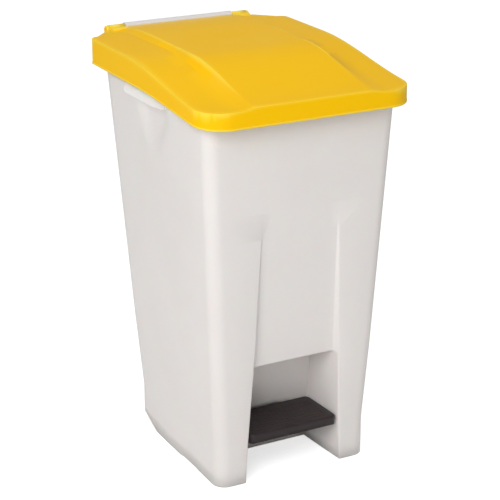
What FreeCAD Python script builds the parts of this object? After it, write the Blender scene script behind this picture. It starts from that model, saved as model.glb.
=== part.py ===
"""Pedal bin of about 60 litres, modelled piece by piece in millimetres.

+Z is up, the pedal faces -Y and the origin is on the floor under the middle of the bin.
Each function returns the closed solids of one piece, and main() writes them to parts/.
"""

import FreeCAD, Part
import math
import os

V = FreeCAD.Vector
X_AXIS = V(1, 0, 0)

# ---- bucket: outline half width, front y and rear y at each height ----
FOOT_SECTION = (0.0, 143.0, -192.5, 130.0)
KNEE_SECTION = (70.0, 143.0, -192.5, 130.0)
RIM_SECTION = (640.0, 174.0, -212.7, 185.5)
REAR_LEAN = (RIM_SECTION[3] - KNEE_SECTION[3]) / (RIM_SECTION[0] - KNEE_SECTION[0])
WAIST_SECTION = (200.0, 151.5, -197.6, KNEE_SECTION[3] + 130.0 * REAR_LEAN)
SECTIONS = (FOOT_SECTION, KNEE_SECTION, WAIST_SECTION, RIM_SECTION)
FRONT_RADIUS = 23.0
REAR_RADIUS = 42.0
WALL = 3.2
RIM_TOP = 645.0
RIM_DEPTH = 9.0
RIM_REACH = 5.5
RIM_END = 138.0
SIDE_LIP_X = 184.3
FLOOR_TOP = 104.0
BASE_RISE = 20.0

# ---- pedal alcove and the sunk front panel above it ----
ALCOVE_TOP = 204.0
ALCOVE_DEPTH_LINE = ((-83.2, -6.0), (-110.0, 152.0), (-115.0, 178.0), (-132.0, 195.0))
PANEL_FOOT_Y = -184.5
PANEL_FADE_Z = 441.0
ALCOVE_HALF_FOOT = 89.0
ALCOVE_HALF_TOP = 78.0
PANEL_HALF_TOP = 70.0
ALCOVE_DRAFT = 6.0 / 108.0

# ---- lid ----
LID_HALF = 190.0
LID_FRONT = -245.0
LID_REAR = 189.0
LID_FRONT_RADIUS = 48.0
LID_REAR_RADIUS = 22.0
LID_SKIN = 3.2
CREST_HALF = 102.0
CREASE_HALF = 117.0
CREASE_FLARE = 0.03
REAR_FALL_START = 110.0
CREST_REAR_FALL = 4.6
CREASE_REAR_FALL = 2.0
TONGUE_FRONT = 177.0
TONGUE_HALF_FRONT = 167.2
TONGUE_HALF_REAR = 146.0
TONGUE_FOOT = 684.0
LID_EDGE_RADIUS = 4.5
DEPTH_STEPS = 24
BUFFER_SPOTS = ((165.0, -180.0), (165.0, 150.0))
BUFFER_SEAT = 4.5
BUFFER_TOP = 652.0

# ---- lid hinge and rear grip bar ----
HINGE_Y = 235.0
HINGE_Z = 688.0
BAR_RADIUS = 10.0
BAR_HALF = 104.0
KNUCKLE_RADIUS = 9.5
KNUCKLE_INNER = 104.6
KNUCKLE_OUTER = 134.0
HINGE_ROD_RADIUS = 4.0
BUSH_RADIUS = 6.5
RUNNING = 0.06
LID_SWING = 75.0
TONGUE_REAR = HINGE_Y - 9.0

# ---- push rod, parallel to the rear wall ----
ROD_RADIUS = 3.5
CAP_RADIUS = 5.0
ROD_OFFSET = 31.7
CAP_GAP = 0.8
TILT = math.degrees(math.atan(REAR_LEAN))
ROD_DIR = V(0, math.sin(math.radians(TILT)), math.cos(math.radians(TILT)))
ROD_NORMAL = V(0, -ROD_DIR.z, ROD_DIR.y)
ROD_TRAVEL = 2 * ROD_OFFSET * math.tan(math.radians(LID_SWING / 2))
GUIDE_HEIGHTS = (215.0, 500.0)

# ---- screws on the rear wall: (x, z) of each pair ----
SCREW_RADIUS = 2.4
HOLE_RADIUS = 2.5
HEAD_RADIUS = 4.6
HEAD_HEIGHT = 3.0
BRACKET_PLATE = 6.0
BRACKET_MIDDLE = 603.0
GRIP_ARM_SPAN = (84.0, 94.0)
BRACKET_SCREWS = ((72.0, 622.0), (72.0, 584.0))
GUIDE_PLATE = 4.0
GUIDE_SCREW_X = 17.0
SCREW_BITE = 9.0

# ---- pedal ----
PEDAL_Y = -16.0
PEDAL_Z = 62.0
PEDAL_AXLE_RADIUS = 4.0
TREAD_TOP = 85.5
TREAD_FRONT = -192.0
TREAD_BACK = -101.0
TREAD_HALF_FRONT = 83.4
TREAD_HALF_BACK = 78.2
TREAD_HEIGHT = 16.0
TREAD_RADIUS = 9.0
TREAD_SKIN = 4.5
TREAD_SCREWS = (-165.0, -125.0)
LEVER_HALF = 42.0
ARM_HALF = 12.0
PLATE = 4.0
LINK_PIN_RADIUS = 3.0

# ---- transport wheels ----
WHEEL_Y = 106.0
WHEEL_RADIUS = 30.0
WHEEL_Z = 30.5
WHEEL_INNER = 72.0
WHEEL_WIDTH = 26.0
TYRE_THICKNESS = 5.0
STUB_RADIUS = 4.0


def hinge_point():
    """Middle of the lid's hinge axis."""
    return V(0, HINGE_Y, HINGE_Z)


def box(low, high):
    """Axis-aligned box between two corners."""
    size = [high[i] - low[i] for i in range(3)]
    return Part.makeBox(size[0], size[1], size[2], V(*low))


def mirrored(shape):
    """The same shape on the other side of the bin's middle plane."""
    return shape.mirror(V(0, 0, 0), X_AXIS)


def both_sides(shape):
    """A shape with its mirror image."""
    return shape.fuse(mirrored(shape))


def bar_x(radius, x_low, x_high, y, z):
    """Round bar along X."""
    return Part.makeCylinder(radius, x_high - x_low, V(x_low, y, z), X_AXIS)


def prism_x(points, x_low, x_high):
    """Polygon of (y, z) points, extruded along X."""
    corners = [V(x_low, y, z) for y, z in points]
    face = Part.Face(Part.makePolygon(corners + corners[:1]))
    return face.extrude(V(x_high - x_low, 0, 0))


def rounded_wire(z, half, front, rear, front_radius, rear_radius):
    """Rounded rectangle in a level plane, with its own front and rear corner radii."""
    corners = (
        (half, front, front_radius, -90),
        (half, rear, rear_radius, 0),
        (-half, rear, rear_radius, 90),
        (-half, front, front_radius, 180),
    )
    ends = []
    arcs = []
    for x, y, radius, start in corners:
        centre = V(x - math.copysign(radius, x), y - math.copysign(radius, y), z)
        points = []
        for turn in (start, start + 45, start + 90):
            angle = math.radians(turn)
            points.append(centre + V(radius * math.cos(angle), radius * math.sin(angle), 0))
        arcs.append(Part.Arc(*points).toShape())
        ends.append((points[0], points[2]))
    edges = []
    for index, arc in enumerate(arcs):
        edges.append(arc)
        edges.append(Part.LineSegment(ends[index][1], ends[(index + 1) % 4][0]).toShape())
    return Part.Wire(edges)


def outline_at(z):
    """Half width, front y and rear y of the bucket at a height."""
    for low, high in zip(SECTIONS, SECTIONS[1:]):
        if z <= high[0]:
            break
    share = max(0.0, (z - low[0]) / (high[0] - low[0]))
    return [a + (b - a) * share for a, b in zip(low[1:], high[1:])]


def bucket_solid(z_low, z_high, inset):
    """The bucket's outline between two heights, drawn in by a wall."""
    heights = [z_low] + [s[0] for s in SECTIONS if z_low < s[0] < z_high] + [z_high]
    wires = []
    for z in heights:
        half, front, rear = outline_at(z)
        radii = (max(FRONT_RADIUS - inset, 4.0), REAR_RADIUS - inset)
        wires.append(rounded_wire(z, half - inset, front + inset, rear - inset, *radii))
    return Part.makeLoft(wires, True, True)


def alcove_solid(grow):
    """Space of the pedal alcove and the sunk panel, grown by a wall for its skin."""
    walls = []
    for y in (-300.0, -60.0):
        lean = (y - TREAD_FRONT) * ALCOVE_DRAFT
        stations = (
            (-6.0, ALCOVE_HALF_FOOT - lean),
            (ALCOVE_TOP, ALCOVE_HALF_TOP - lean),
            (PANEL_FADE_Z, PANEL_HALF_TOP - lean),
            (PANEL_FADE_Z + 240.0, PANEL_HALF_TOP - 8.0 - lean),
        )
        right = [V(half + grow, y, z) for z, half in stations]
        left = [V(-p.x, y, p.z) for p in reversed(right)]
        walls.append(Part.makePolygon(right + left + right[:1]))
    plan = Part.makeLoft(walls, True, True)
    slope = (outline_at(PANEL_FADE_Z)[1] - PANEL_FOOT_Y) / (PANEL_FADE_Z - ALCOVE_TOP)
    top_z = PANEL_FADE_Z + 200.0
    top_y = PANEL_FOOT_Y + slope * (top_z - ALCOVE_TOP)
    back = [(y + grow, z + (grow if z > 170 else 0)) for y, z in ALCOVE_DEPTH_LINE]
    face = [(PANEL_FOOT_Y + grow, ALCOVE_TOP + grow), (top_y + grow, top_z)]
    side = prism_x([(-300.0, -6.0)] + back + face + [(-300.0, top_z)], -200.0, 200.0)
    return plan.common(side)


def scoop_solid(grow):
    """Finger scoop under a side grip: a triangle that narrows inwards and downwards."""
    outer = [(34 + grow, 616 + grow), (-90 - grow, 616 + grow), (-14, 522 - 2 * grow)]
    inner = [(16 + grow, 612 + grow), (-72 - grow, 612 + grow), (-14, 585 - 2 * grow)]
    wires = []
    for x, points in ((192.0, outer), (166.0 - grow, inner)):
        corners = [V(x, y, z) for y, z in points]
        wires.append(Part.makePolygon(corners + corners[:1]))
    return Part.makeLoft(wires, True, True)


def rim_flange():
    """Outward lip around the bucket's mouth, with a lip to lift by on each side."""
    half, front, rear = outline_at(RIM_TOP)
    band = []
    for reach, z in ((0.0, RIM_TOP - RIM_DEPTH), (RIM_REACH, RIM_TOP - RIM_DEPTH + 4)):
        radii = (FRONT_RADIUS + reach, REAR_RADIUS + reach)
        band.append(rounded_wire(z, half + reach, front - reach, rear + reach, *radii))
    foot = Part.makeLoft(band, True, True)
    top = Part.Face(band[1]).extrude(V(0, 0, RIM_DEPTH - 4))
    ahead = box((-210, -240, 600), (210, RIM_END, 700))
    lip_side = [(63, RIM_TOP), (63, 630), (58, 625.5), (-40, 626)]
    lip_side += [(-78, 629), (-104, 640), (-108, RIM_TOP)]
    lip = both_sides(prism_x(lip_side, half - 8, SIDE_LIP_X))
    return foot.fuse(top).common(ahead).fuse(lip)


def leg_feet():
    """Closed bottoms of the two front legs."""
    half, front, _ = outline_at(0)
    foot = box((ALCOVE_HALF_FOOT - 4, front, 0), (half, -150, WALL + 1))
    return both_sides(foot).common(bucket_solid(0, 20, 0.5))


def underside_ribs():
    """Ribs that carry the pedal axle and the wheels' stub axles."""
    top = FLOOR_TOP - WALL + 0.5
    pedal_rib = box((50, PEDAL_Y - 18, PEDAL_Z - 16), (56, PEDAL_Y + 18, top))
    inner_rib = box((WHEEL_INNER - 9, WHEEL_Y - 17, WHEEL_Z - 10), (WHEEL_INNER - 4, WHEEL_Y + 17, top))
    outer_rib = inner_rib.translated(V(WHEEL_WIDTH + 13, 0, 0))
    ribs = pedal_rib.fuse([inner_rib, outer_rib])
    return both_sides(ribs)


def body_shell():
    """The moulded bucket: tapered walls, false floor, alcove, legs and ribs."""
    outer = bucket_solid(0, RIM_TOP, 0)
    waste = bucket_solid(FLOOR_TOP, RIM_TOP + 20, WALL)
    under = bucket_solid(-10, FLOOR_TOP - WALL, WALL)
    shell = outer.cut(waste).cut(under)
    skin = alcove_solid(WALL).common(outer)
    scoop_skin = both_sides(scoop_solid(WALL)).common(outer)
    shell = shell.fuse([skin, scoop_skin, rim_flange(), underside_ribs(), leg_feet()])
    shell = shell.cut(waste.common(rim_throat()))
    cuts = [alcove_solid(0), both_sides(scoop_solid(0)), base_reliefs(), underside_openings()]
    for tool in cuts:
        shell = shell.cut(tool)
    return shell.cut(fixing_holes()).removeSplitter()


def rim_throat():
    """Keeps the mouth clear where the rim lip was added."""
    return box((-200, -230, RIM_TOP - RIM_DEPTH - 1), (200, 200, RIM_TOP + 30))


def base_reliefs():
    """Lower edge: low arches between the feet and the raised rear edge."""
    arch = [(-118, -1), (-112, 2.5), (-62, 2.5), (-56, -1)]
    rear = [(41, -1), (43, 0), (90, BASE_RISE), (210, BASE_RISE), (210, -1)]
    side = [prism_x(arch, 100, 210), prism_x(arch, -210, -100)]
    return prism_x(rear, -210, 210).fuse(side)


def underside_openings():
    """Slots for the pedal lever, the link arm and the wheels, and the axle holes."""
    lever = box((-48, -125, 30), (48, -70, 80))
    link = box((-17, 118, -1), (17, 150, 92))
    wheel = box((WHEEL_INNER - 4, 112, -1), (WHEEL_INNER + WHEEL_WIDTH + 4, 150, 70))
    axle = bar_x(PEDAL_AXLE_RADIUS, -70, 70, PEDAL_Y, PEDAL_Z)
    stub = bar_x(STUB_RADIUS, WHEEL_INNER - 12, WHEEL_INNER + WHEEL_WIDTH + 12, WHEEL_Y, WHEEL_Z)
    return lever.fuse([link, both_sides(wheel), axle, both_sides(stub)])


def on_rod(shape, along):
    """Place a shape drawn along Z on the rod's axis, at a distance from the hinge's foot."""
    placed = shape.copy()
    placed.rotate(V(0, 0, 0), X_AXIS, -TILT)
    placed.translate(hinge_point() + ROD_NORMAL * ROD_OFFSET + ROD_DIR * along)
    return placed


def cap_centre():
    """Distance along the rod of its cap's dome centre with the lid shut."""
    half_swing = math.radians(LID_SWING / 2)
    return -ROD_OFFSET * math.tan(half_swing) - (CAP_RADIUS + CAP_GAP) / math.cos(half_swing)


def along_at(z):
    """Distance along the rod's axis of the point at a height."""
    start = hinge_point() + ROD_NORMAL * ROD_OFFSET
    return (z - start.z) / ROD_DIR.z


def lever_reach():
    """Shortest distance from the pedal's pivot to the rod's axis."""
    start = hinge_point() + ROD_NORMAL * ROD_OFFSET
    return (start - V(0, PEDAL_Y, PEDAL_Z)).dot(ROD_NORMAL * -1)


PEDAL_SWING = 2 * math.degrees(math.atan(ROD_TRAVEL / 2 / lever_reach()))
LEVER_RADIUS = lever_reach() / math.cos(math.radians(PEDAL_SWING / 2))


def link_point():
    """Middle of the link pin at the rear end of the pedal lever, pedal up."""
    angle = math.radians(TILT + PEDAL_SWING / 2)
    return V(0, PEDAL_Y + LEVER_RADIUS * math.cos(angle), PEDAL_Z - LEVER_RADIUS * math.sin(angle))


def wall_gap():
    """Distance from the rod's axis to the rear wall."""
    start = hinge_point() + ROD_NORMAL * ROD_OFFSET
    wall_point = V(0, RIM_SECTION[3], RIM_SECTION[0])
    return (wall_point - start).dot(ROD_NORMAL)


def on_wall(shape, x, z):
    """Place a shape drawn outwards along +Y on the rear wall, square to it."""
    return on_rod(shape.translated(V(x, -wall_gap(), 0)), along_at(z))


def wall_spots():
    """Every screw position on the rear wall with the thickness that it holds down."""
    spots = [(x * side, z, BRACKET_PLATE) for x, z in BRACKET_SCREWS for side in (1, -1)]
    return spots + [(GUIDE_SCREW_X * side, z, GUIDE_PLATE) for z in GUIDE_HEIGHTS for side in (1, -1)]


def fixing_holes():
    """Screw holes through the rear wall, the grip bracket and the rod guides."""
    hole = Part.makeCylinder(HOLE_RADIUS, SCREW_BITE + 12, V(0, -SCREW_BITE, 0), V(0, 1, 0))
    return Part.makeCompound([on_wall(hole, x, z) for x, z, _ in wall_spots()])


def wall_screws():
    """Pan-head screws of the grip bracket and the rod guides."""
    screws = []
    for x, z, plate in wall_spots():
        shank = Part.makeCylinder(SCREW_RADIUS, SCREW_BITE - 1 + plate, V(0, 1 - SCREW_BITE, 0), V(0, 1, 0))
        pan = Part.makeCylinder(HEAD_RADIUS, HEAD_HEIGHT, V(0, plate, 0), V(0, 1, 0))
        rim = [edge for edge in pan.Edges if edge.BoundBox.YMin > plate + HEAD_HEIGHT - 0.1]
        pan = pan.makeFillet(1.0, rim[:1])
        cross = box((-3, plate + HEAD_HEIGHT - 1.4, -0.5), (3, plate + HEAD_HEIGHT + 1, 0.5))
        cross = cross.fuse(box((-0.5, plate + HEAD_HEIGHT - 1.4, -3), (0.5, plate + HEAD_HEIGHT + 1, 3)))
        screws.append(on_wall(shank.fuse(pan).cut(cross), x, z))
    return Part.makeCompound(screws)


# ---- rear grip and hinge ----
def rear_handle():
    """Grip bar behind the lid, with two arms that are screwed to the rear wall."""
    bar = bar_x(BAR_RADIUS, -BAR_HALF, BAR_HALF, HINGE_Y, HINGE_Z)
    wall = RIM_SECTION[3] - 20
    side = [(228, 681), (243.5, 683), (236, 655), (208, 598), (192, 566)]
    side += [(wall, 560), (wall, 632), (191, 637), (204, 653)]
    arm = prism_x(side, *GRIP_ARM_SPAN)
    plate = Part.makeBox(34, BRACKET_PLATE, 72, V(60, 0, -36))
    plate = on_wall(plate, 0, BRACKET_MIDDLE)
    solid = bar.fuse([both_sides(arm), both_sides(plate)])
    solid = solid.cut(bucket_solid(0, RIM_TOP + 5, 0)).cut(fixing_holes())
    return solid.cut(bar_x(HINGE_ROD_RADIUS + 0.02, -200, 200, HINGE_Y, HINGE_Z)).removeSplitter()


def hinge_rod():
    """Steel rod through the grip bar and both lid knuckles."""
    return bar_x(HINGE_ROD_RADIUS, -KNUCKLE_OUTER - 3.5, KNUCKLE_OUTER + 3.5, HINGE_Y, HINGE_Z)


def hinge_caps():
    """Push-on caps at the ends of the hinge rod."""
    cap = bar_x(7.5, KNUCKLE_OUTER + 0.5, KNUCKLE_OUTER + 5.5, HINGE_Y, HINGE_Z)
    rim = [edge for edge in cap.Edges if edge.BoundBox.XMin > KNUCKLE_OUTER + 5.4]
    cap = cap.makeFillet(2.0, rim[:1])
    cap = cap.cut(bar_x(HINGE_ROD_RADIUS, KNUCKLE_OUTER, KNUCKLE_OUTER + 3.5, HINGE_Y, HINGE_Z))
    return Part.makeCompound([cap, mirrored(cap)])


# ---- lid ----
def rise(y, low, high, start, end):
    """Height of a line that climbs smoothly from low to high between two depths."""
    share = min(1.0, max(0.0, (y - start) / (end - start)))
    return low + (high - low) * share * share * (3 - 2 * share)


def rear_share(y):
    """How far the lid's rear fall has grown at a depth: nothing at REAR_FALL_START, 1 after 100 mm."""
    return (max(0.0, y - REAR_FALL_START) / 100.0) ** 2


def crest_height(y):
    """Top of the raised middle panel."""
    return rise(y, 661.5, 700.0, -270.0, -35.0) - CREST_REAR_FALL * rear_share(y)


def crease_height(y):
    """Foot of the bevel beside the raised panel."""
    return rise(y, 661.0, 692.5, -280.0, 20.0) - CREASE_REAR_FALL * rear_share(y)


def shelf_height(y):
    """Outer edge of the lid's shoulders."""
    return rise(y, 659.5, 690.0, -215.0, 50.0)


def skirt_height(y):
    """Lower edge of the lid's skirt."""
    return rise(y, 630.5, 647.5, -290.0, 0.0)


def smooth_line(points):
    """Smooth curve through evenly spaced points."""
    curve = Part.BSplineCurve()
    last = len(points) - 1
    curve.interpolate(Points=points, Parameters=[step / last for step in range(last + 1)])
    return curve.toShape()


def lid_depths():
    """Evenly spaced depths that reach past both ends of the lid."""
    first = LID_FRONT - 15
    return [first + step * (HINGE_Y + 15 - first) / DEPTH_STEPS for step in range(DEPTH_STEPS + 1)]


def profile_wire(height, x_at, drop):
    """Section of the lid along its depth: a smooth top line closed by straight sides."""
    points = [V(x_at(y), y, height(y) - drop) for y in lid_depths()]
    first, last = points[0], points[-1]
    low_first, low_last = V(first.x, first.y, 560), V(last.x, last.y, 560)
    sides = [(last, low_last), (low_last, low_first), (low_first, first)]
    return Part.Wire([smooth_line(points)] + [Part.LineSegment(a, b).toShape() for a, b in sides])


def lid_block(drop):
    """The lid's top surface as a solid block, lowered by a skin."""
    half = LID_HALF + 6

    def crease_x(y):
        return CREASE_HALF + CREASE_FLARE * y

    stations = (
        (shelf_height, lambda y: -half),
        (crease_height, lambda y: -crease_x(y)),
        (crest_height, lambda y: -CREST_HALF),
        (crest_height, lambda y: CREST_HALF),
        (crease_height, crease_x),
        (shelf_height, lambda y: half),
    )
    wires = [profile_wire(height, x_at, drop) for height, x_at in stations]
    parts = [Part.makeLoft([a, b], True, True) for a, b in zip(wires, wires[1:])]
    return parts[0].fuse(parts[1:])


def lid_plan(inset, z_low):
    """Upright prism on the lid's outline."""
    radii = (LID_FRONT_RADIUS - inset, LID_REAR_RADIUS - inset)
    wire = rounded_wire(z_low, LID_HALF - inset, LID_FRONT + inset, LID_REAR - inset, *radii)
    return Part.Face(wire).extrude(V(0, 0, 760 - z_low))


def skirt_cutter():
    """Space below the skirt's curved lower edge."""
    line = smooth_line([V(-220, y, skirt_height(y)) for y in lid_depths()])
    first, last = line.Vertexes[0].Point, line.Vertexes[-1].Point
    corners = [last, V(-220, last.y, 540), V(-220, first.y, 540), first]
    edges = [line] + [Part.LineSegment(a, b).toShape() for a, b in zip(corners, corners[1:])]
    return Part.Face(Part.Wire(edges)).extrude(V(440, 0, 0))


def is_top_rim(edge):
    """True for an edge where the lid's top meets its outline wall."""
    bounds = edge.BoundBox
    if bounds.XLength < 0.01 and bounds.YLength < 0.01:
        return False
    middle = edge.valueAt((edge.FirstParameter + edge.LastParameter) / 2)
    radii = (LID_FRONT_RADIUS, LID_REAR_RADIUS)
    wall = rounded_wire(middle.z, LID_HALF, LID_FRONT, LID_REAR, *radii)
    return middle.z > 655 and wall.distToShape(Part.Vertex(middle))[0] < 0.05


def tongue_half(y):
    """Half width of the tongue, which narrows towards the hinge."""
    share = (y - TONGUE_FRONT) / (TONGUE_REAR - TONGUE_FRONT)
    return TONGUE_HALF_FRONT + (TONGUE_HALF_REAR - TONGUE_HALF_FRONT) * share


def tongue_prism(front, rear, inset, z_low):
    """Upright prism on the tongue's outline between two depths."""
    right = [V(tongue_half(y) - inset, y, z_low) for y in (front, rear)]
    left = [V(-point.x, point.y, z_low) for point in reversed(right)]
    return Part.Face(Part.makePolygon(right + left + right[:1])).extrude(V(0, 0, 760 - z_low))


def lid_tongue(block):
    """Rear tongue that carries the lid back over its hinge."""
    slab = tongue_prism(TONGUE_FRONT, TONGUE_REAR, 0, TONGUE_FOOT).common(block)
    hollow = tongue_prism(LID_REAR - LID_SKIN, TONGUE_REAR - 6.5, LID_SKIN, 600)
    return slab, hollow


def lid_knuckles():
    """Barrels at the tongue's rear corners that turn on the hinge rod."""
    barrel = bar_x(KNUCKLE_RADIUS, KNUCKLE_INNER, KNUCKLE_OUTER, HINGE_Y, HINGE_Z)
    neck = box((KNUCKLE_INNER, HINGE_Y - 16, HINGE_Z - 8), (KNUCKLE_OUTER, HINGE_Y, HINGE_Z + 6.5))
    return both_sides(barrel.fuse(neck))


def buffer_seats():
    """Sockets inside the lid for its rubber buffers."""
    seats = []
    for x, y in BUFFER_SPOTS:
        seats.append(Part.makeCylinder(BUFFER_SEAT, 40, V(x, y, BUFFER_TOP)))
    return Part.makeCompound(seats + [mirrored(seat) for seat in seats])


def lid_shell():
    """The lid: crowned top, rounded rim, skirt, tongue and knuckles."""
    block = lid_block(0)
    main_part = block.common(lid_plan(0, 600)).removeSplitter()
    main_part = main_part.makeFillet(LID_EDGE_RADIUS, [e for e in main_part.Edges if is_top_rim(e)])
    slab, tongue_hollow = lid_tongue(block)
    inner = lid_block(LID_SKIN)
    hollow = inner.common(lid_plan(LID_SKIN, 590)).fuse(inner.common(tongue_hollow))
    solid = main_part.fuse(slab).cut(hollow).fuse([rear_wall(inner), lid_knuckles()])
    seats = buffer_seats().common(inner.common(lid_plan(1, 590)))
    solid = solid.fuse(seats.Solids).cut(skirt_cutter())
    for tool in hinge_clearance():
        solid = solid.cut(tool)
    return solid.removeSplitter()


def rear_wall(inner):
    """Skirt wall that closes the lid in front of the tongue's hollow."""
    half = tongue_half(LID_REAR)
    wall = box((-half, LID_REAR - LID_SKIN, 640), (half, LID_REAR, 720))
    return wall.common(inner)


def hinge_clearance():
    """Room for the grip bar and the bushes' bores."""
    swept = bar_x(BAR_RADIUS + 1.4, -KNUCKLE_INNER, KNUCKLE_INNER, HINGE_Y, HINGE_Z)
    bore = bar_x(BUSH_RADIUS, -KNUCKLE_OUTER - 5, KNUCKLE_OUTER + 5, HINGE_Y, HINGE_Z)
    return swept, bore


def hinge_bushes():
    """Nylon liners pressed into the lid's knuckles."""
    liner = bar_x(BUSH_RADIUS, KNUCKLE_INNER, KNUCKLE_OUTER, HINGE_Y, HINGE_Z)
    liner = liner.cut(bar_x(HINGE_ROD_RADIUS + RUNNING, 0, 200, HINGE_Y, HINGE_Z))
    return Part.makeCompound([liner, mirrored(liner)])


def lid_buffers():
    """Rubber buffers that land on the bucket's rim."""
    pieces = []
    for x, y in BUFFER_SPOTS:
        stem = Part.makeCylinder(BUFFER_SEAT, BUFFER_TOP - RIM_TOP - 0.4, V(x, y, RIM_TOP + 0.4))
        rim = [edge for edge in stem.Edges if edge.BoundBox.ZMax < RIM_TOP + 0.5]
        pieces.append(stem.makeFillet(1.5, rim[:1]))
    return Part.makeCompound(pieces + [mirrored(piece) for piece in pieces])


def striker_plane(shape):
    """Place a shape drawn about the hinge, with -Y towards the rod's cap, on the striker's plane."""
    placed = shape.copy()
    placed.rotate(V(0, 0, 0), X_AXIS, LID_SWING / 2 - TILT)
    placed.translate(hinge_point())
    return placed


def lid_striker():
    """Block under the tongue that the push rod lifts by its radial face."""
    above = striker_plane(box((-13, -60, 0), (13, -22, 60)))
    room = box((-13, LID_REAR + 4.5, 640), (13, HINGE_Y - 19, 720))
    solid = above.common(room).common(lid_block(LID_SKIN))
    lightening = box((-9, LID_REAR + 8, HINGE_Z - 9), (9, HINGE_Y - 23, 720))
    return solid.cut(lightening)


# ---- push rod ----
def push_rod():
    """Steel rod from the pedal lever to the lid."""
    low = along_at(link_point().z) + 16
    return on_rod(Part.makeCylinder(ROD_RADIUS, cap_centre() - 4 - low, V(0, 0, low)), 0)


def rod_cap():
    """Domed nylon cap on the rod's top end."""
    dome = Part.makeSphere(CAP_RADIUS, V(0, 0, 0))
    skirt = Part.makeCylinder(CAP_RADIUS, 20, V(0, 0, -20))
    bore = Part.makeCylinder(ROD_RADIUS, 20, V(0, 0, -24))
    return on_rod(dome.fuse(skirt).cut(bore).removeSplitter(), cap_centre())


def rod_foot():
    """Slotted fitting at the rod's lower end, round the link pin."""
    across = LEVER_RADIUS - lever_reach()
    body = box((-7, -9, -9), (7, 9, 30))
    neck = Part.makeCylinder(7, 12, V(0, 0, 24))
    low, high = -0.6, across + 0.6
    radius = LINK_PIN_RADIUS + 0.35
    slot = bar_x(radius, -10, 10, low, 0).fuse(bar_x(radius, -10, 10, high, 0))
    slot = slot.fuse(box((-10, low, -radius), (10, high, radius)))
    bore = Part.makeCylinder(ROD_RADIUS, 40, V(0, 0, 16))
    edges = [edge for edge in body.Edges if edge.BoundBox.XLength > 10]
    body = body.makeFillet(4, edges)
    return on_rod(body.fuse(neck).cut(slot).cut(bore).removeSplitter(), along_at(link_point().z))


def rod_guide(z):
    """Clip on the rear wall that the push rod slides in."""
    plate = Part.makeBox(48, GUIDE_PLATE, 22, V(-24, 0, -11))
    nose = Part.makeBox(15, wall_gap(), 22, V(-7.5, 0, -11))
    eye = Part.makeCylinder(7.5, 22, V(0, wall_gap(), -11))
    edges = [edge for edge in plate.Edges if edge.BoundBox.YLength > 3 and edge.BoundBox.XLength < 0.1]
    plate = plate.makeFillet(5, edges)
    solid = on_wall(plate.fuse([nose, eye]), 0, z)
    solid = solid.cut(on_rod(Part.makeCylinder(ROD_RADIUS + RUNNING, 60, V(0, 0, -30)), along_at(z)))
    return solid.cut(fixing_holes()).removeSplitter()


# ---- pedal ----
def pedal_tread():
    """Moulded pedal cover: level top, rounded corners and a lip all round the front."""
    low = TREAD_TOP - TREAD_HEIGHT
    corners = [(TREAD_HALF_FRONT, TREAD_FRONT), (TREAD_HALF_BACK, TREAD_BACK),
               (-TREAD_HALF_BACK, TREAD_BACK), (-TREAD_HALF_FRONT, TREAD_FRONT)]
    points = [V(x, y, low) for x, y in corners]
    solid = Part.Face(Part.makePolygon(points + points[:1])).extrude(V(0, 0, TREAD_HEIGHT))
    upright = [edge for edge in solid.Edges if edge.BoundBox.ZLength > 1]
    solid = solid.makeFillet(TREAD_RADIUS, upright)
    inner = [V(x * 0.953, y, low - 1) for x, y in corners]
    for point, shift in zip(inner, (4.0, -4.0, -4.0, 4.0)):
        point.y += shift
    hollow = Part.Face(Part.makePolygon(inner + inner[:1])).extrude(V(0, 0, TREAD_HEIGHT + 1 - TREAD_SKIN))
    hollow = hollow.makeFillet(5, [edge for edge in hollow.Edges if edge.BoundBox.ZLength > 1])
    top = [edge for edge in solid.Edges if edge.BoundBox.ZMin > TREAD_TOP - 0.1]
    solid = solid.makeFillet(2.0, top)
    gap = LEVER_HALF + 1
    notch = box((-gap, TREAD_BACK - 8, low - 1), (gap, TREAD_BACK + 1, TREAD_TOP - TREAD_SKIN))
    return solid.cut(hollow).cut(notch).cut(tread_screw_holes()).removeSplitter()


def lever_side():
    """Outline of the lever's two front plates."""
    top = TREAD_TOP - TREAD_SKIN
    return [(TREAD_FRONT + 14, top), (TREAD_BACK - 4, top), (-88, 74), (PEDAL_Y, 74), (24, 64),
            (24, 46), (PEDAL_Y, 50), (-88, 60), (TREAD_BACK - 4, 68), (TREAD_FRONT + 14, 71)]


def arm_side():
    """Outline of the lever's two rear plates, out to the link pin."""
    link = link_point()
    upper = [(-4, 70), (24, 64), (link.y + 2, link.z + 7), (link.y + 8, link.z + 2)]
    lower = [(link.y + 8, link.z - 4), (link.y + 3, link.z - 8), (24, 44), (-4, 52)]
    return upper + lower


def pedal_lever():
    """Pressed-steel lever: wide fork under the tread, narrow fork at the push rod."""
    front = both_sides(prism_x(lever_side(), LEVER_HALF - PLATE, LEVER_HALF))
    arm = both_sides(prism_x(arm_side(), ARM_HALF - PLATE, ARM_HALF))
    top = TREAD_TOP - TREAD_SKIN
    deck_line = [(TREAD_FRONT + 14, top), (TREAD_BACK - 4, top), (-88, 75), (PEDAL_Y, 75), (24, 65)]
    deck_line += [(y, z - 3) for y, z in reversed(deck_line)]
    deck = prism_x(deck_line, -LEVER_HALF, LEVER_HALF)
    link = link_point()
    rib_line = [(20, 66), (link.y - 22, link.z + 14), (link.y - 22, link.z + 11), (20, 63)]
    rib = prism_x(rib_line, -ARM_HALF, ARM_HALF)
    solid = front.fuse([arm, deck, rib])
    solid = solid.cut(bar_x(BUSH_RADIUS, -80, 80, PEDAL_Y, PEDAL_Z))
    solid = solid.cut(bar_x(LINK_PIN_RADIUS, -40, 40, link.y, link.z))
    return solid.cut(tread_screw_holes()).removeSplitter()


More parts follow.
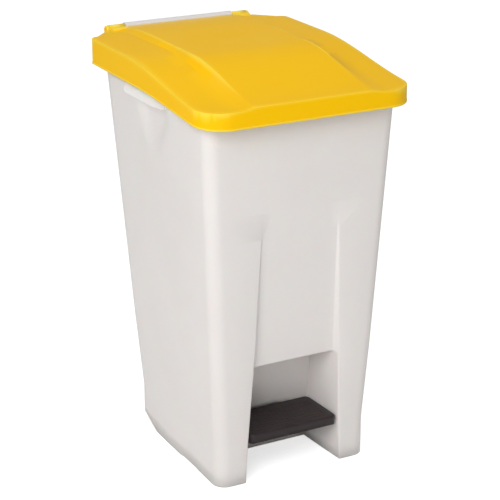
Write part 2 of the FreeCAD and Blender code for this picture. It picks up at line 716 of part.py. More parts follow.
def pedal_bushes():
    """Flanged nylon bushes between the lever and the pedal axle."""
    sleeve = bar_x(BUSH_RADIUS, LEVER_HALF - PLATE - 2, LEVER_HALF + 2, PEDAL_Y, PEDAL_Z)
    flange = bar_x(BUSH_RADIUS + 3, LEVER_HALF, LEVER_HALF + 2, PEDAL_Y, PEDAL_Z)
    bush = sleeve.fuse(flange).cut(bar_x(PEDAL_AXLE_RADIUS + RUNNING, 0, 90, PEDAL_Y, PEDAL_Z))
    bush = bush.removeSplitter()
    return Part.makeCompound([bush, mirrored(bush)])


def pedal_axle():
    """Steel axle that the pedal lever rocks on."""
    return bar_x(PEDAL_AXLE_RADIUS, -62, 62, PEDAL_Y, PEDAL_Z)


def clip_ring(radius, x, y, z):
    """Thin retaining washer on a shaft's end."""
    ring = bar_x(radius + 3.5, x, x + 1.2, y, z)
    return ring.cut(bar_x(radius, x - 1, x + 3, y, z))


def axle_clips():
    """Push-on washers that keep the pedal axle in its ribs."""
    ring = clip_ring(PEDAL_AXLE_RADIUS, 56.2, PEDAL_Y, PEDAL_Z)
    return Part.makeCompound([ring, mirrored(ring)])


def link_pin():
    """Steel pin that joins the lever to the rod's foot, with a head at one end."""
    link = link_point()
    shank = bar_x(LINK_PIN_RADIUS, -ARM_HALF - 3, ARM_HALF + 0.1, link.y, link.z)
    head = bar_x(LINK_PIN_RADIUS + 2, ARM_HALF + 0.1, ARM_HALF + 2.5, link.y, link.z)
    return shank.fuse(head).removeSplitter()


def link_clip():
    """Push-on washer on the link pin's plain end."""
    link = link_point()
    ring = clip_ring(LINK_PIN_RADIUS, 0, link.y, link.z)
    return ring.translated(V(-ARM_HALF - 1.7, 0, 0))


def tread_screw_holes():
    """Holes for the screws up through the lever's deck into the tread."""
    deck = TREAD_TOP - TREAD_SKIN - 4
    return Part.makeCompound([Part.makeCylinder(2.1, 6.8, V(0, y, deck)) for y in TREAD_SCREWS])


def tread_screws():
    """Screws up through the lever's deck into the tread."""
    deck = TREAD_TOP - TREAD_SKIN - 3
    screws = []
    for y in TREAD_SCREWS:
        head = Part.makeCylinder(4.0, 2.4, V(0, y, deck - 2.4))
        shank = Part.makeCylinder(2.0, 5.5, V(0, y, deck - 0.2))
        screws.append(head.fuse(shank).removeSplitter())
    return Part.makeCompound(screws)


# ---- wheels ----
def ring_x(outer, inner, x_low, x_high):
    """Round ring along X at the wheel's centre."""
    ring = bar_x(outer, x_low, x_high, WHEEL_Y, WHEEL_Z)
    return ring.cut(bar_x(inner, x_low - 1, x_high + 1, WHEEL_Y, WHEEL_Z))


def wheel_hub():
    """Moulded wheel: hub, dished web and rim, right side."""
    x_low, x_high = WHEEL_INNER, WHEEL_INNER + WHEEL_WIDTH
    rim = ring_x(WHEEL_RADIUS - TYRE_THICKNESS, WHEEL_RADIUS - TYRE_THICKNESS - 4, x_low, x_high)
    hub = ring_x(9, STUB_RADIUS + RUNNING, x_low - 2, x_high + 2)
    middle = (x_low + x_high) / 2
    web = ring_x(WHEEL_RADIUS - TYRE_THICKNESS - 2, 7, middle - 2, middle + 2)
    return rim.fuse([hub, web]).removeSplitter()


def wheel_tyre():
    """Rubber tyre with rounded shoulders, right side."""
    x_low, x_high = WHEEL_INNER, WHEEL_INNER + WHEEL_WIDTH
    tyre = bar_x(WHEEL_RADIUS, x_low, x_high, WHEEL_Y, WHEEL_Z)
    tyre = tyre.makeFillet(3.0, [edge for edge in tyre.Edges if edge.BoundBox.XLength < 0.1])
    return tyre.cut(bar_x(WHEEL_RADIUS - TYRE_THICKNESS, 0, 200, WHEEL_Y, WHEEL_Z))


def wheel_stub():
    """Steel stub axle through the two ribs beside a wheel, right side."""
    return bar_x(STUB_RADIUS, WHEEL_INNER - 10.5, WHEEL_INNER + WHEEL_WIDTH + 10.5, WHEEL_Y, WHEEL_Z)


def stub_clips():
    """Push-on washers at both ends of each stub axle."""
    inner = clip_ring(STUB_RADIUS, WHEEL_INNER - 10.3, WHEEL_Y, WHEEL_Z)
    outer = clip_ring(STUB_RADIUS, WHEEL_INNER + WHEEL_WIDTH + 9.1, WHEEL_Y, WHEEL_Z)
    rings = [inner, outer]
    return Part.makeCompound(rings + [mirrored(ring) for ring in rings])


def right_and_left(name, shape):
    """A right-hand piece and its mirror image as two named nodes."""
    return {name + "_right": shape, name + "_left": mirrored(shape)}


def main():
    """Write one STEP file per piece."""
    os.makedirs("parts", exist_ok=True)
    pieces = {
        "body_shell": body_shell(),
        "rear_handle": rear_handle(),
        "wall_screws": wall_screws(),
        "hinge_rod": hinge_rod(),
        "hinge_caps": hinge_caps(),
        "rod_guide_lower": rod_guide(GUIDE_HEIGHTS[0]),
        "rod_guide_upper": rod_guide(GUIDE_HEIGHTS[1]),
        "pedal_axle": pedal_axle(),
        "axle_clips": axle_clips(),
        "lid_shell": lid_shell(),
        "lid_buffers": lid_buffers(),
        "lid_striker": lid_striker(),
        "hinge_bushes": hinge_bushes(),
        "push_rod": push_rod(),
        "rod_cap": rod_cap(),
        "rod_foot": rod_foot(),
        "pedal_tread": pedal_tread(),
        "pedal_lever": pedal_lever(),
        "pedal_bushes": pedal_bushes(),
        "link_pin": link_pin(),
        "link_clip": link_clip(),
        "tread_screws": tread_screws(),
        "stub_clips": stub_clips(),
    }
    pieces.update(right_and_left("wheel_stub", wheel_stub()))
    pieces.update(right_and_left("wheel_hub", wheel_hub()))
    pieces.update(right_and_left("wheel_tyre", wheel_tyre()))
    for name, shape in pieces.items():
        facts = (name, shape.isValid(), len(shape.Solids), shape.Volume / 1e3)
        print("%-16s valid %s, %d solids, %.2f cm3" % facts)
        shape.exportStep("parts/%s.step" % name)
    print("pedal swing %.4f deg, rod travel %.4f mm, tilt %.4f deg" % (PEDAL_SWING, ROD_TRAVEL, TILT))


if __name__ == "__main__":
    main()
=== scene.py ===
"""A wheeled waste bin with a pedal-lifted lid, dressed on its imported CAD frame.

All lengths are metres in the frame's own axes: +Z is up and the pedal is at the front, towards -Y.
"""

import logging
import math
from dataclasses import dataclass
from enum import Enum
from typing import Callable, Sequence

import bmesh
import bpy
from mathutils import Euler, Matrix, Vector


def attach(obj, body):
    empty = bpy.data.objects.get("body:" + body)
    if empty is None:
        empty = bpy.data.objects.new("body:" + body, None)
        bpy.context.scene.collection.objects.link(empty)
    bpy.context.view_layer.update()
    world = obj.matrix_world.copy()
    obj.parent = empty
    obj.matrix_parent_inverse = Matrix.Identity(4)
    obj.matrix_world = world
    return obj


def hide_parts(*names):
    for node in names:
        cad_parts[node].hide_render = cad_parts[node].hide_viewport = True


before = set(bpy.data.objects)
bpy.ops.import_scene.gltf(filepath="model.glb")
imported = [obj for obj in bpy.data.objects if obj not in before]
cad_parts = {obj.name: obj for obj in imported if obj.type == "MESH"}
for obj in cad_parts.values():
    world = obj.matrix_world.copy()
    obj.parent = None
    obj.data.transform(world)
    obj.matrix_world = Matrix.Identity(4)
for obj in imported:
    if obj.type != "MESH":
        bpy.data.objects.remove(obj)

LOG = logging.getLogger("pedal_bin")
MM = 0.001
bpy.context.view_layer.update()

Line = tuple[tuple[float, float], ...]


# ---------------------------------------------------------------- finishes


def linear(hex_colour: str) -> tuple[float, float, float, float]:
    """Turns an sRGB colour into the linear colour that shaders take.

    Args:
        hex_colour: The colour as "RRGGBB".

    Returns:
        Red, green, blue and an alpha of 1.
    """
    channels = []
    for start in (0, 2, 4):
        value = int(hex_colour[start:start + 2], 16) / 255
        channels.append(value / 12.92 if value <= 0.04045 else ((value + 0.055) / 1.055) ** 2.4)
    return (*channels, 1.0)


def add_node(
    tree: bpy.types.NodeTree, kind: str, inputs: dict | None = None, **settings: object
) -> bpy.types.Node:
    """Adds one shader node.

    Args:
        tree: The node tree it goes into.
        kind: The node's type name.
        inputs: What each of its inputs gets: another node's output, or a constant.
        **settings: The node's own properties.

    Returns:
        The new node.
    """
    node = tree.nodes.new(kind)
    for key, value in settings.items():
        setattr(node, key, value)
    for key, value in (inputs or {}).items():
        if isinstance(value, bpy.types.NodeSocket):
            tree.links.new(value, node.inputs[key])
        else:
            node.inputs[key].default_value = value
    return node


def per_metre(size_mm: float) -> float:
    """Gives the texture scale at which one feature of the pattern is so many millimetres wide.

    Args:
        size_mm: The feature's width in mm.

    Returns:
        The scale for Object coordinates in metres.
    """
    return 1 / (size_mm * MM)


def blank_material(name: str) -> tuple[bpy.types.Material, bpy.types.NodeTree, bpy.types.NodeSocket]:
    """Makes a material whose node tree holds only an Object coordinate.

    Args:
        name: The material's name.

    Returns:
        The material, its node tree, and the Object coordinate's socket.
    """
    material = bpy.data.materials.new(name)
    material.use_nodes = True
    tree = material.node_tree
    tree.nodes.clear()
    place = add_node(tree, "ShaderNodeTexCoord").outputs["Object"]
    return material, tree, place


@dataclass(frozen=True)
class MouldedPlastic:
    """Injection-moulded plastic: an even colour, random patches of a second tone, a fine mould grain, a
    slow waviness and an optional painted highlight on rounded edges.
    """

    name: str
    colour: str
    worn_colour: str
    roughness: float
    shine: float = 0.5
    gloss: float = 0.0
    grain_mm: float = 0.7
    grain_depth_mm: float = 0.006
    wave_mm: float = 70.0
    wave_depth_mm: float = 0.12
    glow: float = 0.0
    # Painted highlight on rounded edges: its paler colour, how strongly it is mixed in, and the pointiness
    # range that masks it.
    painted_highlight_colour: str = ""
    painted_highlight_share: float = 0.0
    painted_highlight_range: tuple[float, float] = (0.507, 0.527)
    patch_mm: float = 120.0
    scatter_mm: float = 4.0
    coat_roughness: float = 0.16

    def build(self) -> bpy.types.Material:
        """Makes the material.

        Returns:
            The material.
        """
        material, tree, place = blank_material(self.name)
        cloud = add_node(
            tree, "ShaderNodeTexNoise",
            {"Vector": place, "Scale": per_metre(self.patch_mm), "Detail": 3.0, "Roughness": 0.5},
        )
        patch = add_node(
            tree, "ShaderNodeMapRange",
            {"Value": cloud.outputs["Fac"], "From Min": 0.42, "From Max": 0.72, "To Max": 0.35},
        )
        tone = add_node(
            tree, "ShaderNodeMix", {"Factor": patch.outputs["Result"]}, data_type="RGBA"
        )
        tone.inputs["A"].default_value = linear(self.colour)
        tone.inputs["B"].default_value = linear(self.worn_colour)
        shade = tone.outputs["Result"]
        # Painted highlight: rounded edges are mixed towards a paler colour.
        if self.painted_highlight_colour:
            shade = self._paint_edge_highlight(tree, shade)
        sheen = add_node(
            tree, "ShaderNodeMapRange",
            {
                "Value": cloud.outputs["Fac"], "From Min": 0.3, "From Max": 0.7,
                "To Min": self.roughness - 0.03, "To Max": self.roughness + 0.05,
            },
        )
        wave = add_node(
            tree, "ShaderNodeTexNoise",
            {"Vector": place, "Scale": per_metre(self.wave_mm), "Detail": 1.0, "Roughness": 0.4},
        )
        slow = add_node(
            tree, "ShaderNodeBump",
            {"Height": wave.outputs["Fac"], "Distance": self.wave_depth_mm * MM, "Strength": 1.0},
        )
        grain = add_node(
            tree, "ShaderNodeTexNoise",
            {"Vector": place, "Scale": per_metre(self.grain_mm), "Detail": 2.0, "Roughness": 0.6},
        )
        fine = add_node(
            tree, "ShaderNodeBump",
            {
                "Height": grain.outputs["Fac"], "Distance": self.grain_depth_mm * MM,
                "Strength": 1.0, "Normal": slow.outputs["Normal"],
            },
        )
        skin = add_node(
            tree, "ShaderNodeBsdfPrincipled",
            {
                "Base Color": shade, "Roughness": sheen.outputs["Result"],
                "Normal": fine.outputs["Normal"], "Specular IOR Level": self.shine,
                "Subsurface Weight": self.glow, "Subsurface Scale": self.scatter_mm * MM,
                "Coat Weight": self.gloss, "Coat Roughness": self.coat_roughness,
            },
        )
        add_node(tree, "ShaderNodeOutputMaterial", {"Surface": skin.outputs["BSDF"]})
        return material

    def _paint_edge_highlight(
        self, tree: bpy.types.NodeTree, shade: bpy.types.NodeSocket
    ) -> bpy.types.NodeSocket:
        """Paints a highlight onto the rounded edges, a paler colour where the surface bends sharply, so
        that they stand out from the flat faces.

        Args:
            tree: The material's node tree.
            shade: The colour away from the edges.

        Returns:
            The colour with the painted highlight on the edges.
        """
        # Pointiness picks out the rounded edges that get the painted highlight.
        form = add_node(tree, "ShaderNodeNewGeometry")
        flat, rounded = self.painted_highlight_range
        highlight_mask = add_node(
            tree, "ShaderNodeMapRange",
            {
                "Value": form.outputs["Pointiness"], "From Min": flat, "From Max": rounded,
                "To Max": self.painted_highlight_share,
            },
        )
        lit = add_node(
            tree, "ShaderNodeMix", {"Factor": highlight_mask.outputs["Result"]}, data_type="RGBA"
        )
        tree.links.new(shade, lit.inputs["A"])
        lit.inputs["B"].default_value = linear(self.painted_highlight_colour)
        return lit.outputs["Result"]


@dataclass(frozen=True)
class ZincSteel:
    """Zinc-plated steel wire and screws: a dull metal with cloudy patches."""

    name: str
    colour: str
    roughness: float = 0.34

    def build(self) -> bpy.types.Material:
        """Makes the material.

        Returns:
            The material.
        """
        material, tree, place = blank_material(self.name)
        cloud = add_node(
            tree, "ShaderNodeTexNoise",
            {"Vector": place, "Scale": per_metre(6), "Detail": 4.0, "Roughness": 0.6},
        )
        dullness = add_node(
            tree, "ShaderNodeMapRange",
            {
                "Value": cloud.outputs["Fac"], "From Min": 0.3, "From Max": 0.7,
                "To Min": self.roughness - 0.08, "To Max": self.roughness + 0.12,
            },
        )
        dents = add_node(
            tree, "ShaderNodeBump",
            {"Height": cloud.outputs["Fac"], "Distance": 0.03 * MM, "Strength": 1.0},
        )
        skin = add_node(
            tree, "ShaderNodeBsdfPrincipled",
            {
                "Base Color": linear(self.colour), "Metallic": 1.0,
                "Roughness": dullness.outputs["Result"], "Normal": dents.outputs["Normal"],
            },
        )
        add_node(tree, "ShaderNodeOutputMaterial", {"Surface": skin.outputs["BSDF"]})
        return material


@dataclass(frozen=True)
class Rubber:
    """Matt black rubber with a slightly pitted skin."""

    name: str
    colour: str
    roughness: float = 0.72

    def build(self) -> bpy.types.Material:
        """Makes the material.

        Returns:
            The material.
        """
        material, tree, place = blank_material(self.name)
        pits = add_node(
            tree, "ShaderNodeTexNoise",
            {"Vector": place, "Scale": per_metre(1.2), "Detail": 5.0, "Roughness": 0.65},
        )
        skin_bump = add_node(
            tree, "ShaderNodeBump",
            {"Height": pits.outputs["Fac"], "Distance": 0.05 * MM, "Strength": 1.0},
        )
        skin = add_node(
            tree, "ShaderNodeBsdfPrincipled",
            {
                "Base Color": linear(self.colour), "Roughness": self.roughness,
                "Normal": skin_bump.outputs["Normal"],
            },
        )
        add_node(tree, "ShaderNodeOutputMaterial", {"Surface": skin.outputs["BSDF"]})
        return material


class Finish(Enum):
    """The finishes of the bin.

    Each value is the record's material slot. What follows a dot tells finishes on one slot apart.
    """

    WHITE = "white_moulding"
    THIN_WHITE = "white_moulding.painted_highlight"
    DULL_WHITE = "white_moulding.dull_painted_shade"
    YELLOW = "yellow_moulding"
    DARK = "dark_moulding"
    NYLON = "white_nylon"
    GREY_NYLON = "grey_nylon"
    STEEL = "zinc_steel"
    RUBBER = "black_rubber"


RECIPES = {
    Finish.WHITE: MouldedPlastic("white polypropylene", "EAE5E2", "E4DEDA", 0.36, shine=0.4, glow=0.2),
    # A lighter copy of the white for the side grip lips: the lighter colour is a painted highlight, the
    # stronger subsurface glow is real scattering.
    Finish.THIN_WHITE: MouldedPlastic("white polypropylene with painted highlight", "FAF7F6", "F4F0EE", 0.36,
                                      shine=0.4, glow=0.3),
    # A darker copy of the white for the rear handle: its higher roughness and lower shine are real, its
    # darker colour is painted shade.
    Finish.DULL_WHITE: MouldedPlastic("dull white polypropylene with painted shade", "E0DDDC", "DAD6D5", 0.5, shine=0.2),
    # The yellow gets a painted highlight in a paler yellow on its rounded edges.
    Finish.YELLOW: MouldedPlastic("yellow polypropylene", "FFC800", "FDC200", 0.36, shine=0.06,
                                  gloss=0.08, painted_highlight_colour="FFDF4A", painted_highlight_share=0.9),
    Finish.DARK: MouldedPlastic("charcoal polypropylene", "2B2022", "33292A", 0.45, shine=0.4,
                                grain_mm=1.0, grain_depth_mm=0.02),
    Finish.NYLON: MouldedPlastic("white nylon", "EDEBE4", "E4E1D9", 0.3),
    Finish.GREY_NYLON: MouldedPlastic("grey nylon", "8F8F8C", "868683", 0.4),
    Finish.STEEL: ZincSteel("zinc-plated steel", "B9BCC0"),
    Finish.RUBBER: Rubber("black rubber", "1A1A1B"),
}


class Finishes:
    """The materials of the bin, each made once and handed out by name."""

    def __init__(self) -> None:
        self._made = {finish: RECIPES[finish].build() for finish in Finish}

    def dress(self, piece: bpy.types.Object, finish: Finish) -> None:
        """Gives a piece one finish.

        Args:
            piece: The piece.
            finish: Its finish.
        """
        piece.data.materials.clear()
        piece.data.materials.append(self._made[finish])


# ---------------------------------------------------------------- modelling


class Form:
    """One piece while it's being modelled, which grows by mesh operators only."""

    def __init__(self) -> None:
        self.bm = bmesh.new()

    def block(self, low: Sequence[float], high: Sequence[float]) -> list[bmesh.types.BMVert]:
        """Adds a rectangular block.

        Args:
            low: Its lowest corner.
            high: Its highest corner.

        Returns:
            The block's vertices.
        """
        made = bmesh.ops.create_cube(self.bm, size=1.0)["verts"]
        bmesh.ops.scale(self.bm, vec=Vector(high) - Vector(low), verts=made)
        bmesh.ops.translate(self.bm, vec=(Vector(high) + Vector(low)) / 2, verts=made)
        return made

    def bar(
        self, start: Sequence[float], end: Sequence[float], radius: float, sides: int = 40
    ) -> list[bmesh.types.BMVert]:
        """Adds a round bar.

        Args:
            start: The middle of one end.
            end: The middle of the other end.
            radius: The bar's radius.
            sides: How many sides stand for the circle.

        Returns:
            The bar's vertices.
        """
        run = Vector(end) - Vector(start)
        made = bmesh.ops.create_cone(
            self.bm, cap_ends=True, segments=sides, radius1=radius, radius2=radius, depth=run.length
        )["verts"]
        turn = Vector((0, 0, 1)).rotation_difference(run).to_matrix()
        bmesh.ops.rotate(self.bm, cent=(0, 0, 0), matrix=turn, verts=made)
        bmesh.ops.translate(self.bm, vec=(Vector(start) + Vector(end)) / 2, verts=made)
        return made

    def cut(self, axis: int, places: Sequence[float]) -> None:
        """Runs level cuts through the whole piece, which divide its faces.

        Args:
            axis: The axis that the cuts are square to: 0, 1 or 2.
            places: Where they cross it.
        """
        normal = Vector([float(index == axis) for index in range(3)])
        for place in places:
            bmesh.ops.bisect_plane(
                self.bm, geom=self.bm.verts[:] + self.bm.edges[:] + self.bm.faces[:],
                dist=1e-6, plane_co=normal * place, plane_no=normal,
            )

    def faces(self, wanted: Callable[[Vector, Vector], bool]) -> list[bmesh.types.BMFace]:
        """Finds faces by their middle and their normal.

        Args:
            wanted: Says of a middle and a normal whether the face is wanted.

        Returns:
            The faces.
        """
        self.bm.normal_update()
        return [f for f in self.bm.faces if wanted(f.calc_center_median(), f.normal)]

    def edges(self, wanted: Callable[[Vector, Vector], bool]) -> list[bmesh.types.BMEdge]:
        """Finds edges by both of their ends.

        Args:
            wanted: Says of the two ends whether the edge is wanted.

        Returns:
            The edges.
        """
        return [e for e in self.bm.edges if wanted(e.verts[0].co, e.verts[1].co)]

    def sharp(self, degrees: float) -> list[bmesh.types.BMEdge]:
        """Finds the edges at which the surface turns by more than an angle.

        Args:
            degrees: The angle.

        Returns:
            The edges.
        """
        self.bm.normal_update()
        limit = math.radians(degrees)
        return [e for e in self.bm.edges if e.is_manifold and e.calc_face_angle(0.0) > limit]

    def soften(self, edges: list[bmesh.types.BMEdge], width: float, segments: int = 3) -> None:
        """Rounds some edges off.

        Args:
            edges: The edges.
            width: How far the rounding reaches from each edge.
            segments: How many faces stand for the rounding.
        """
        bmesh.ops.bevel(
            self.bm, geom=edges, offset=width, offset_type="OFFSET", segments=segments,
            profile=0.5, affect="EDGES", clamp_overlap=True, material=-1,
        )

    def push(self, faces: list[bmesh.types.BMFace], run: Sequence[float]) -> set[bmesh.types.BMVert]:
        """Extrudes a patch of faces.

        Args:
            faces: The patch.
            run: How far and which way it moves.

        Returns:
            The moved vertices.
        """
        made = bmesh.ops.extrude_face_region(self.bm, geom=faces)["geom"]
        moved = [item for item in made if isinstance(item, bmesh.types.BMVert)]
        bmesh.ops.delete(self.bm, geom=[f for f in faces if f.is_valid], context="FACES_KEEP_BOUNDARY")
        bmesh.ops.translate(self.bm, vec=Vector(run), verts=moved)
        return set(moved)

    def drop(self, faces: list[bmesh.types.BMFace]) -> None:
        """Takes faces away and leaves an opening.

        Args:
            faces: The faces.
        """
        bmesh.ops.delete(self.bm, geom=faces, context="FACES")

    def warp(self, move: Callable[[Vector], Vector]) -> None:
        """Moves every vertex by one rule.

        Args:
            move: Gives a vertex's new place from its old one.
        """
        for vert in self.bm.verts:
            vert.co = move(vert.co.copy())

    def piece(
        self, name: str, body: str, nodes: Sequence[str] = (), skin: float = 0.0, crease: float = 38.0
    ) -> bpy.types.Object:
        """Turns the form into a finished object that rides on a CAD body.

        Args:
            name: The object's name.
            body: The CAD body that it moves with.
            nodes: The CAD nodes that it's shown instead of.
            skin: Wall thickness that is added on the inner side, or 0 for a closed solid.
            crease: The surface shades as an edge where it turns by more than these degrees.

        Returns:
            The object.
        """
        bmesh.ops.remove_doubles(self.bm, verts=self.bm.verts[:], dist=1e-6)
        bmesh.ops.dissolve_degenerate(self.bm, edges=self.bm.edges[:], dist=1e-6)
        for face in self.bm.faces:
            face.smooth = True
        for edge in self.sharp(crease):
            edge.smooth = False
        mesh = bpy.data.meshes.new(name)
        self.bm.to_mesh(mesh)
        self.bm.free()
        made = bpy.data.objects.new(name, mesh)
        bpy.context.scene.collection.objects.link(made)
        if skin:
            wall = made.modifiers.new("wall", "SOLIDIFY")
            wall.thickness = skin
            wall.offset = -1.0
            wall.use_even_offset = True
        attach(made, body)
        if nodes:
            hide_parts(*nodes)
        return made


def between(value: float, knots: Sequence[tuple[float, float]]) -> float:
    """Reads a value off a line of straight runs.

    Args:
        value: Where to read it.
        knots: The line's corners in rising order, each as (where, what).

    Returns:
        The line's value there, held level beyond its ends.
    """
    if value <= knots[0][0]:
        return knots[0][1]
    for (low, first), (high, last) in zip(knots, knots[1:]):
        if value <= high:
            return first + (last - first) * (value - low) / (high - low)
    return knots[-1][1]


def eased(value: float, start: float, end: float) -> float:
    """Grows smoothly from 0 to 1 between two values.

    Args:
        value: Where to read it.
        start: Where it leaves 0.
        end: Where it reaches 1.

    Returns:
        The share.
    """
    share = min(1.0, max(0.0, (value - start) / (end - start)))
    return share * share * (3 - 2 * share)


# ---------------------------------------------------------------- bucket


@dataclass(frozen=True)
class Bucket:
    """The tapered white bucket with its pedal alcove, sunk front panel, side grips and base."""

    half: float = 0.174
    front: float = -0.2127
    rear: float = 0.1855
    top: float = 0.645
    front_radius: float = 0.023
    rear_radius: float = 0.042
    half_line: Line = ((0.07, 0.143), (0.2, 0.1515), (0.64, 0.174))
    front_line: Line = ((0.07, -0.1925), (0.2, -0.1976), (0.64, -0.2127))
    rear_line: Line = ((0.07, 0.13), (0.2, 0.14266), (0.64, 0.1855))
    wall: float = 0.0032
    alcove_top: float = 0.204
    alcove_outer: float = 0.0915
    alcove_inner: float = 0.0885
    alcove_line: Line = ((0.0, 0.089), (0.204, 0.078), (0.441, 0.07))
    alcove_depths: Line = ((0.0, -0.0836), (0.152, -0.11), (0.178, -0.116), (0.204, -0.133))
    alcove_roof_drop: float = 0.009
    draft: float = 0.0556
    panel_foot: float = -0.1845
    panel_fade: float = 0.478
    rim_low: float = 0.636
    rim_reach: float = 0.0052
    rim_end: float = 0.138
    scoop_low: float = 0.522
    scoop_high: float = 0.616
    scoop_depth: float = 0.006
    lip_inner: float = 0.169
    lip_outer: float = 0.1843
    lip_front: float = -0.108
    lip_rear: float = 0.063
    lip_lean: float = 0.007
    lip_under: Line = (
        (-0.104, 0.6405), (-0.078, 0.629), (-0.04, 0.626), (0.058, 0.6255), (0.0625, 0.63)
    )
    floor_top: float = 0.104
    foot_line: Line = (
        (-0.118, 0.0), (-0.112, 0.0025), (-0.062, 0.0025), (-0.056, 0.0), (0.043, 0.0), (0.09, 0.02)
    )

    def build(self, stock: Finishes) -> None:
        """Builds and dresses the bucket's pieces.

        Args:
            stock: The materials.
        """
        for made in (self._walls(), self._base()):
            stock.dress(made, Finish.WHITE)
        # The side grip lips take the lighter white, a painted highlight.
        stock.dress(self._rim_lips(), Finish.THIN_WHITE)

    def _walls(self) -> bpy.types.Object:
        """Models the walls with the alcove, the sunk panel, the scoops and the rim.

        Returns:
            The walls.
        """
        form = Form()
        form.block((-self.half, self.front, 0.0), (self.half, self.rear, self.top))
        for depth, radius in ((self.front, self.front_radius), (self.rear, self.rear_radius)):
            upright = form.edges(
                lambda a, b: abs(a.y - depth) < 1e-6 and abs(b.y - depth) < 1e-6
                and abs(a.z - b.z) > 0.1
            )
            form.soften(upright, radius, 8)
        self._divide(form)
        form.drop(form.faces(lambda c, n: abs(n.z) > 0.9))
        pocket = form.faces(
            lambda c, n: n.y < -0.9 and abs(c.x) < self.alcove_outer and c.z < self.alcove_top
        )
        inward = form.push(pocket, (0, 0, 0))
        form.drop(form.faces(lambda c, n: c.z < 1e-6))
        rear_slots = form.faces(
            lambda c, n: n.y > 0.9
            and ((abs(c.x) < 0.017 and c.z < 0.092) or (0.069 < abs(c.x) < 0.133 and c.z < 0.07))
        )
        form.drop(rear_slots)
        band = form.faces(lambda c, n: c.z > self.rim_low and c.y < self.rim_end)
        back = {vert for vert in inward if vert.is_valid}
        self._place(form, back)
        slot = [
            f for f in form.bm.faces
            if all(v in back for v in f.verts)
            and abs(f.calc_center_median().x) < 0.048 and 0.03 < f.calc_center_median().z < 0.08
        ]
        form.drop(slot)
        bmesh.ops.inset_region(
            form.bm, faces=[f for f in band if f.is_valid], thickness=0.0012,
            depth=self.rim_reach, use_even_offset=True, use_boundary=False,
        )
        inner_corners = [
            e for e in form.bm.edges
            if all(v in back for v in e.verts) and e.is_manifold
            and e.calc_face_angle(0.0) > math.radians(40)
        ]
        form.soften(inner_corners, 0.008, 4)
        for lowest, highest, width in (
            (0.0, self.alcove_top + 1e-4, 0.003), (self.alcove_top + 0.001, self.panel_fade, 0.0014)
        ):
            edges = [
                e for e in form.sharp(30)
                if all(v.co.y < -0.17 and lowest - 1e-4 < v.co.z < highest for v in e.verts)
            ]
            form.soften(edges, width, 3)
        return form.piece("bucket_walls", "bucket", ["body_shell"], skin=self.wall)

    def _divide(self, form: Form) -> None:
        """Divides the plain block where its shape will turn.

        Args:
            form: The block with its upright corners rounded.
        """
        fade = [self.alcove_top + (self.panel_fade - self.alcove_top) * step / 6 for step in range(7)]
        scoop = [self.scoop_low - 0.012 + 0.0106 * step for step in range(11)]
        form.cut(2, [0.03, 0.07, 0.08, 0.092, 0.152, 0.178, *fade, 0.476, *scoop, 0.63, self.rim_low])
        form.cut(1, [-0.118, -0.112, -0.062, -0.056, 0.043, 0.09, self.rim_end])
        form.cut(1, [-0.1 + 0.0125 * step for step in range(12) if abs(step - 3) > 0.5])
        for side in (-1, 1):
            form.cut(0, [side * x for x in (0.017, 0.048, 0.069, 0.133)])
            form.cut(0, [side * self.alcove_outer, side * self.alcove_inner])

    def _place(self, form: Form, back: set[bmesh.types.BMVert]) -> None:
        """Moves every vertex from the plain block to the tapered shape.

        Args:
            form: The divided block.
            back: The vertices of the alcove's back.
        """
        for vert in form.bm.verts:
            x, y, z = vert.co
            half, front, rear = (
                between(z, line) for line in (self.half_line, self.front_line, self.rear_line)
            )
            opening = between(z, self.alcove_line)
            across = between(abs(x), (
                (0.0, 0.0), (self.alcove_inner, opening - 0.0012),
                (self.alcove_outer, opening + 0.0018),
                (self.half - self.rear_radius, half - self.rear_radius), (self.half, half),
            ))
            along = between(y, (
                (self.front, front), (self.front + self.front_radius, front + self.front_radius),
                (self.rear - self.rear_radius, rear - self.rear_radius), (self.rear, rear),
            ))
            level = z if z > 1e-6 else between(along, self.foot_line)
            if vert in back:
                along = between(z, self.alcove_depths)
                across = min(across, opening - (along - front) * self.draft)
                level = z - self.alcove_roof_drop * eased(z, 0.178, self.alcove_top)
            elif (
                y < self.front + 1e-6 and abs(x) < self.alcove_inner + 1e-6
                and self.alcove_top - 1e-6 < z < self.panel_fade
            ):
                end = between(self.panel_fade, self.front_line)
                along = between(z, ((self.alcove_top, self.panel_foot), (self.panel_fade, end)))
            if abs(x) > self.half - 1e-6:
                across -= self.scoop_depth * self._scoop(along, z)
            vert.co = Vector((math.copysign(across, x), along, level))

    def _scoop(self, y: float, z: float) -> float:
        """Says how deep the finger scoop under a side grip is.

        Args:
            y: Depth of the place.
            z: Height of the place.

        Returns:
            The share of the full depth, 0 outside the scoop.
        """
        climb = (z - self.scoop_low) / (self.scoop_high - self.scoop_low)
        if not 0.0 < climb < 1.01:
            return 0.0
        middle, reach = -0.014 - 0.014 * climb, 0.064 * climb + 0.004
        return eased(climb, 0.0, 0.9) * eased(reach - abs(y - middle), 0.0, reach * 0.6)

    def _rim_lips(self) -> bpy.types.Object:
        """Models the lip to lift by on each side, under the lid.

        Returns:
            Both lips.
        """
        form = Form()
        for side in (-1, 1):
            low_x, high_x = sorted((side * self.lip_inner, side * self.lip_outer))
            form.block((low_x, self.lip_front, 0.6), (high_x, self.lip_rear, self.top))
        form.cut(1, [y for y, _ in self.lip_under])
        form.warp(
            lambda p: Vector((
                p.x - math.copysign(self.lip_lean, p.x) * (p.z > 0.62 and abs(p.x) > 0.18),
                p.y, p.z if p.z > 0.62 else between(p.y, self.lip_under),
            ))
        )
        form.soften(form.sharp(50), 0.0018, 3)
        return form.piece("side_grip_lips", "bucket")

